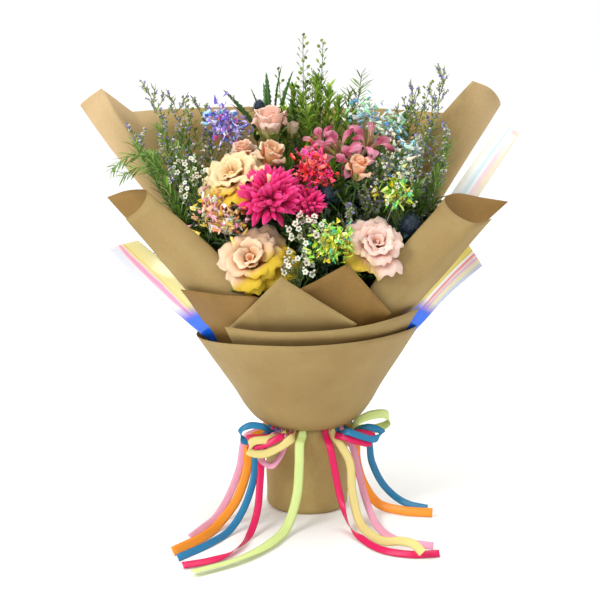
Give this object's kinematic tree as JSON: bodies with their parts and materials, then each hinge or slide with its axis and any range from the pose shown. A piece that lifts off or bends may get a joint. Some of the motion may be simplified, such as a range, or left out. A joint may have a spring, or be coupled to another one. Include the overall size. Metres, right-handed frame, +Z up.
{
  "type": "wrapped flower bouquet",
  "caption": "Mixed flower bouquet in layered kraft paper and clear film, tied at the neck with satin ribbons that trail, standing on its paper-wrapped foot.",
  "frame": {"origin": "centre of the foot's flat underside, on the surface that the bouquet stands on", "axes": "+Z up along the foot; -Y is the front, where the blooms and the ribbons face; +X is to the right as seen from the front"},
  "size_m": [0.6073, 0.4241, 0.668],
  "materials": {
    "kraft": "matte",
    "packing": "matte",
    "twine": "matte",
    "film": "gloss",
    "peach": "matte",
    "cream": "matte",
    "magenta": "matte",
    "dusky_pink": "matte",
    "thistle_blue": "matte",
    "white": "matte",
    "purple": "matte",
    "stem_green": "satin",
    "leaf_green": "satin",
    "pod_green": "matte",
    "tinsel_purple": "gloss",
    "tinsel_gold": "gloss",
    "tinsel_red": "gloss",
    "tinsel_white": "gloss",
    "tinsel_lime": "gloss",
    "ribbon_teal": "satin",
    "ribbon_orange": "satin",
    "ribbon_yellow": "satin",
    "ribbon_lime": "satin",
    "ribbon_pink": "satin",
    "ribbon_magenta": "satin"
  },
  "bodies": {
    "root": {"foot_sleeve": "kraft", "wet_packing": "packing", "stem_tie": "twine", "back_sheet": "kraft", "lapel_left": "kraft", "lapel_right": "kraft", "inner_left_sheet": "kraft", "peaked_sheet": "kraft", "collar_inner": "kraft", "collar_outer": "kraft", "film_left": "film", "film_right_low": "film", "film_right_high": "film", "ribbon_pink": "ribbon_pink", "ribbon_orange": "ribbon_orange", "ribbon_teal": "ribbon_teal", "ribbon_magenta": "ribbon_magenta", "ribbon_lime": "ribbon_lime", "ribbon_yellow": "ribbon_yellow", "rose_front_left": "peach", "rose_front_right": "peach", "rose_open_left": "peach", "rose_half_left": "peach", "rose_bud_left": "peach", "rose_bud_top": "peach", "rose_bud_small": "cream", "rose_bud_right": "peach", "rose_stem_front_left": "stem_green", "rose_stem_front_right": "stem_green", "rose_stem_left": "stem_green", "rose_stem_top": "stem_green", "rose_stem_right": "stem_green", "magenta_head_left": "magenta", "magenta_head_right": "magenta", "magenta_stem": "stem_green", "alstroemeria_bloom": "dusky_pink", "alstroemeria_stem": "stem_green", "thistle_centre": "thistle_blue", "thistle_right": "thistle_blue", "thistle_top": "thistle_blue", "waxflower_centre": "white", "waxflower_left": "white", "waxflower_right": "white", "sea_lavender_left_high": "purple", "sea_lavender_left_low": "purple", "sea_lavender_right_high": "purple", "sea_lavender_right_low": "purple", "sea_lavender_centre": "purple", "pennycress_top": "pod_green", "pennycress_left": "pod_green", "pennycress_right": "pod_green", "foliage_long_leaves": "leaf_green", "foliage_leafy_left": "leaf_green", "foliage_green_centre": "leaf_green", "foliage_ferny_right": "leaf_green", "tinsel_purple": "tinsel_purple", "tinsel_gold": "tinsel_gold", "tinsel_red": "tinsel_red", "tinsel_white": "tinsel_white", "tinsel_lime": "tinsel_lime"}
  },
  "joints": []
}
